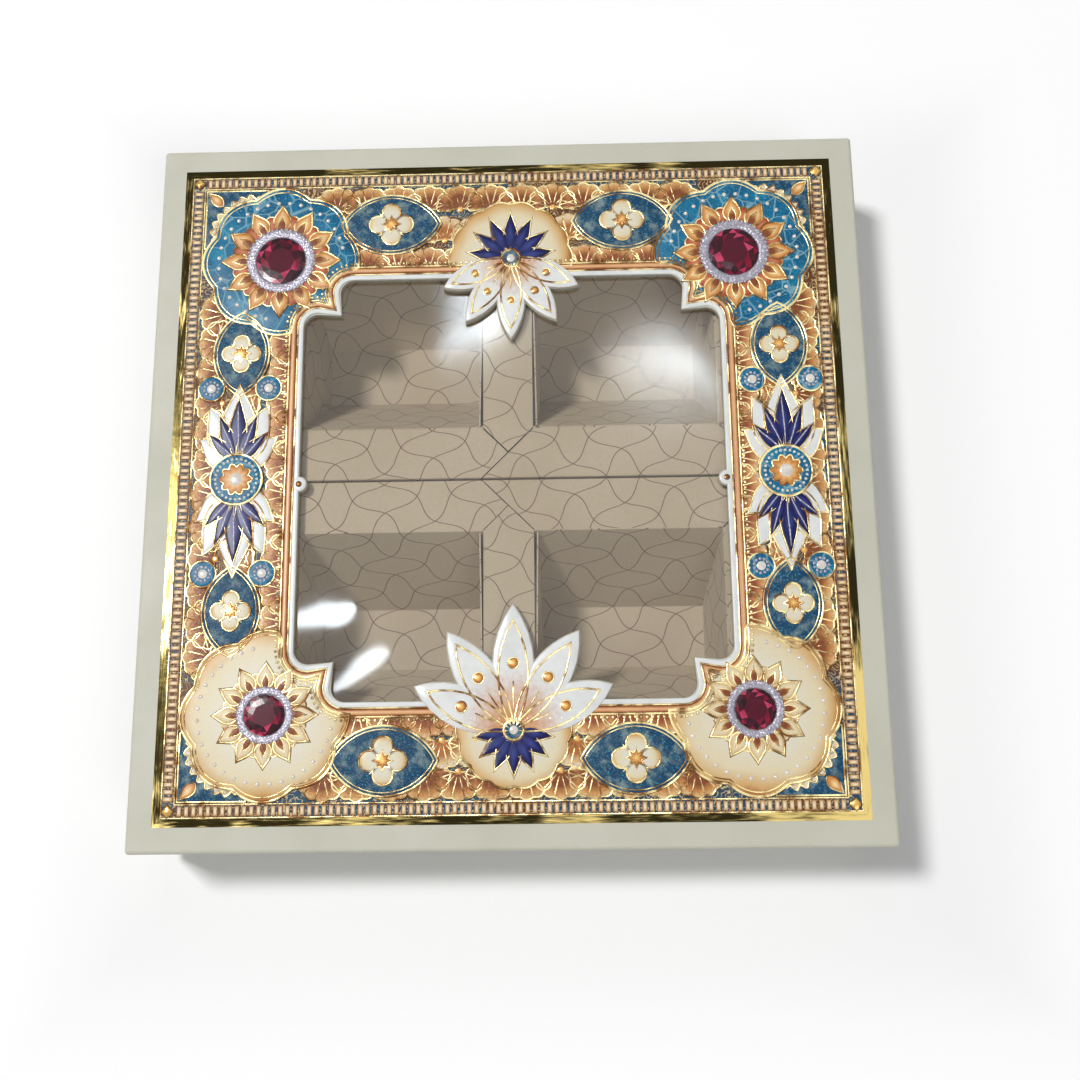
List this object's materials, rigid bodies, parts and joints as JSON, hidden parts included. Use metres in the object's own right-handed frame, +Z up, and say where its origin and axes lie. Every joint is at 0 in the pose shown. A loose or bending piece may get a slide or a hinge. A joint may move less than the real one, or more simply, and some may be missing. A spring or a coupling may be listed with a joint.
{
  "type": "gift box",
  "caption": "Square rigid gift box for dry fruit: lift-off lid with a gold foil border and a notched clear window over folded kraft card trays",
  "frame": {"origin": "middle of the underside of the closed box", "axes": "+Z up through the lid, +X to the right, +Y to the back, as seen from the front"},
  "size_m": [0.254, 0.254, 0.0441],
  "materials": {
    "greyboard": "matt, rigid grey paperboard",
    "stay_tape": "matt, brown paper tape",
    "cream_paper": "satin coated cream paper",
    "white_paper": "matt white paper",
    "gold_foil": "mirror-bright hot-stamped foil",
    "clear_film": "glossy clear film",
    "film_tape": "clear double-sided tape",
    "kraft_card": "matt kraft card with a thin brown line print"
  },
  "bodies": {
    "base": {"bottom_sheet": "cream_paper", "base_board": "greyboard", "base_wrap": "cream_paper", "base_liner": "white_paper", "back_tray": "kraft_card", "front_tray": "kraft_card", "base_stay_front_left": "stay_tape", "base_stay_front_right": "stay_tape", "base_stay_back_left": "stay_tape", "base_stay_back_right": "stay_tape"},
    "lid": {"lid_board": "greyboard", "lid_wrap": "cream_paper", "foil_border": "gold_foil", "window_film": "clear_film", "lid_liner": "white_paper", "lid_stay_front_left": "stay_tape", "lid_stay_front_right": "stay_tape", "lid_stay_back_left": "stay_tape", "lid_stay_back_right": "stay_tape", "film_tape_front": "film_tape", "film_tape_back": "film_tape", "film_tape_left": "film_tape", "film_tape_right": "film_tape"}
  },
  "joints": [
    {"name": "lid_lift", "type": "slide", "parent": "base", "child": "lid", "axis": [0, 0, 1], "range_m": [0, 0.06]}
  ]
}
